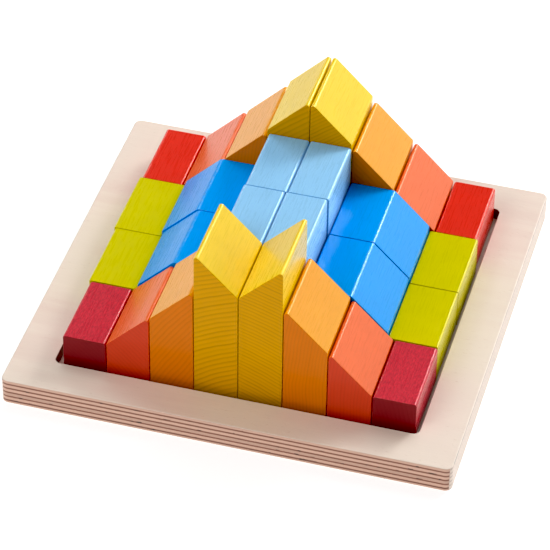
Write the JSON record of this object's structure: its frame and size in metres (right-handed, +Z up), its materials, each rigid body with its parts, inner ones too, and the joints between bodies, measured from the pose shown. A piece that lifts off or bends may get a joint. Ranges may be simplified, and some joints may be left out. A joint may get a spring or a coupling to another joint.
{
  "type": "block arranging puzzle",
  "caption": "Wooden arranging puzzle: lacquered flat, stepped and ramp-topped blocks standing in rows in a square plywood tray, with a valley in front and a peak at the back.",
  "frame": {"origin": "middle of the tray's underside", "axes": "+X along a row of eight columns, to the right as seen from the front; +Y from the front row, whose tops make a valley, to the back row, whose tops make a peak; +Z up, the way the blocks lift out"},
  "size_m": [0.245, 0.237, 0.1031],
  "materials": {
    "birch_plywood": "sanded, clear matt oil",
    "burgundy_lacquer": "beech under semi-gloss lacquer",
    "red_lacquer": "beech under semi-gloss lacquer",
    "coral_lacquer": "beech under semi-gloss lacquer",
    "orange_lacquer": "beech under semi-gloss lacquer",
    "yellow_lacquer": "beech under semi-gloss lacquer",
    "lime_lacquer": "beech under semi-gloss lacquer",
    "blue_lacquer": "beech under semi-gloss lacquer",
    "sky_lacquer": "beech under semi-gloss lacquer"
  },
  "bodies": {
    "tray": {"tray_base": "birch_plywood", "tray_rim": "birch_plywood"},
    "row1_col1_block": {"row1_col1_burgundy_flat": "burgundy_lacquer"},
    "row1_col2_block": {"row1_col2_coral_ramp": "coral_lacquer"},
    "row1_col3_block": {"row1_col3_orange_ramp": "orange_lacquer"},
    "row1_col4_block": {"row1_col4_yellow_ramp": "yellow_lacquer"},
    "row1_col5_block": {"row1_col5_yellow_ramp": "yellow_lacquer"},
    "row1_col6_block": {"row1_col6_orange_ramp": "orange_lacquer"},
    "row1_col7_block": {"row1_col7_coral_ramp": "coral_lacquer"},
    "row1_col8_block": {"row1_col8_burgundy_flat": "burgundy_lacquer"},
    "row2_col1_block": {"row2_col1_lime_flat": "lime_lacquer"},
    "row2_col23_block": {"row2_col23_blue_shelf": "blue_lacquer"},
    "row2_col4_block": {"row2_col4_sky_box": "sky_lacquer"},
    "row2_col5_block": {"row2_col5_sky_box": "sky_lacquer"},
    "row2_col67_block": {"row2_col67_blue_shelf": "blue_lacquer"},
    "row2_col8_block": {"row2_col8_lime_flat": "lime_lacquer"},
    "row3_col1_block": {"row3_col1_lime_flat": "lime_lacquer"},
    "row3_col23_block": {"row3_col23_blue_shelf": "blue_lacquer"},
    "row3_col4_block": {"row3_col4_sky_box": "sky_lacquer"},
    "row3_col5_block": {"row3_col5_sky_box": "sky_lacquer"},
    "row3_col67_block": {"row3_col67_blue_shelf": "blue_lacquer"},
    "row3_col8_block": {"row3_col8_lime_flat": "lime_lacquer"},
    "row4_col1_block": {"row4_col1_red_flat": "red_lacquer"},
    "row4_col2_block": {"row4_col2_coral_ramp": "coral_lacquer"},
    "row4_col3_block": {"row4_col3_orange_ramp": "orange_lacquer"},
    "row4_col4_block": {"row4_col4_yellow_ramp": "yellow_lacquer"},
    "row4_col5_block": {"row4_col5_yellow_ramp": "yellow_lacquer"},
    "row4_col6_block": {"row4_col6_orange_ramp": "orange_lacquer"},
    "row4_col7_block": {"row4_col7_coral_ramp": "coral_lacquer"},
    "row4_col8_block": {"row4_col8_red_flat": "red_lacquer"}
  },
  "joints": [
    {"name": "row1_col1_lift", "type": "slide", "parent": "tray", "child": "row1_col1_block", "axis": [0, 0, 1], "range_m": [0, 0.1]},
    {"name": "row1_col2_lift", "type": "slide", "parent": "tray", "child": "row1_col2_block", "axis": [0, 0, 1], "range_m": [0, 0.1]},
    {"name": "row1_col3_lift", "type": "slide", "parent": "tray", "child": "row1_col3_block", "axis": [0, 0, 1], "range_m": [0, 0.1]},
    {"name": "row1_col4_lift", "type": "slide", "parent": "tray", "child": "row1_col4_block", "axis": [0, 0, 1], "range_m": [0, 0.1]},
    {"name": "row1_col5_lift", "type": "slide", "parent": "tray", "child": "row1_col5_block", "axis": [0, 0, 1], "range_m": [0, 0.1]},
    {"name": "row1_col6_lift", "type": "slide", "parent": "tray", "child": "row1_col6_block", "axis": [0, 0, 1], "range_m": [0, 0.1]},
    {"name": "row1_col7_lift", "type": "slide", "parent": "tray", "child": "row1_col7_block", "axis": [0, 0, 1], "range_m": [0, 0.1]},
    {"name": "row1_col8_lift", "type": "slide", "parent": "tray", "child": "row1_col8_block", "axis": [0, 0, 1], "range_m": [0, 0.1]},
    {"name": "row2_col1_lift", "type": "slide", "parent": "tray", "child": "row2_col1_block", "axis": [0, 0, 1], "range_m": [0, 0.1]},
    {"name": "row2_col23_lift", "type": "slide", "parent": "tray", "child": "row2_col23_block", "axis": [0, 0, 1], "range_m": [0, 0.1]},
    {"name": "row2_col4_lift", "type": "slide", "parent": "tray", "child": "row2_col4_block", "axis": [0, 0, 1], "range_m": [0, 0.1]},
    {"name": "row2_col5_lift", "type": "slide", "parent": "tray", "child": "row2_col5_block", "axis": [0, 0, 1], "range_m": [0, 0.1]},
    {"name": "row2_col67_lift", "type": "slide", "parent": "tray", "child": "row2_col67_block", "axis": [0, 0, 1], "range_m": [0, 0.1]},
    {"name": "row2_col8_lift", "type": "slide", "parent": "tray", "child": "row2_col8_block", "axis": [0, 0, 1], "range_m": [0, 0.1]},
    {"name": "row3_col1_lift", "type": "slide", "parent": "tray", "child": "row3_col1_block", "axis": [0, 0, 1], "range_m": [0, 0.1]},
    {"name": "row3_col23_lift", "type": "slide", "parent": "tray", "child": "row3_col23_block", "axis": [0, 0, 1], "range_m": [0, 0.1]},
    {"name": "row3_col4_lift", "type": "slide", "parent": "tray", "child": "row3_col4_block", "axis": [0, 0, 1], "range_m": [0, 0.1]},
    {"name": "row3_col5_lift", "type": "slide", "parent": "tray", "child": "row3_col5_block", "axis": [0, 0, 1], "range_m": [0, 0.1]},
    {"name": "row3_col67_lift", "type": "slide", "parent": "tray", "child": "row3_col67_block", "axis": [0, 0, 1], "range_m": [0, 0.1]},
    {"name": "row3_col8_lift", "type": "slide", "parent": "tray", "child": "row3_col8_block", "axis": [0, 0, 1], "range_m": [0, 0.1]},
    {"name": "row4_col1_lift", "type": "slide", "parent": "tray", "child": "row4_col1_block", "axis": [0, 0, 1], "range_m": [0, 0.1]},
    {"name": "row4_col2_lift", "type": "slide", "parent": "tray", "child": "row4_col2_block", "axis": [0, 0, 1], "range_m": [0, 0.1]},
    {"name": "row4_col3_lift", "type": "slide", "parent": "tray", "child": "row4_col3_block", "axis": [0, 0, 1], "range_m": [0, 0.1]},
    {"name": "row4_col4_lift", "type": "slide", "parent": "tray", "child": "row4_col4_block", "axis": [0, 0, 1], "range_m": [0, 0.1]},
    {"name": "row4_col5_lift", "type": "slide", "parent": "tray", "child": "row4_col5_block", "axis": [0, 0, 1], "range_m": [0, 0.1]},
    {"name": "row4_col6_lift", "type": "slide", "parent": "tray", "child": "row4_col6_block", "axis": [0, 0, 1], "range_m": [0, 0.1]},
    {"name": "row4_col7_lift", "type": "slide", "parent": "tray", "child": "row4_col7_block", "axis": [0, 0, 1], "range_m": [0, 0.1]},
    {"name": "row4_col8_lift", "type": "slide", "parent": "tray", "child": "row4_col8_block", "axis": [0, 0, 1], "range_m": [0, 0.1]}
  ]
}
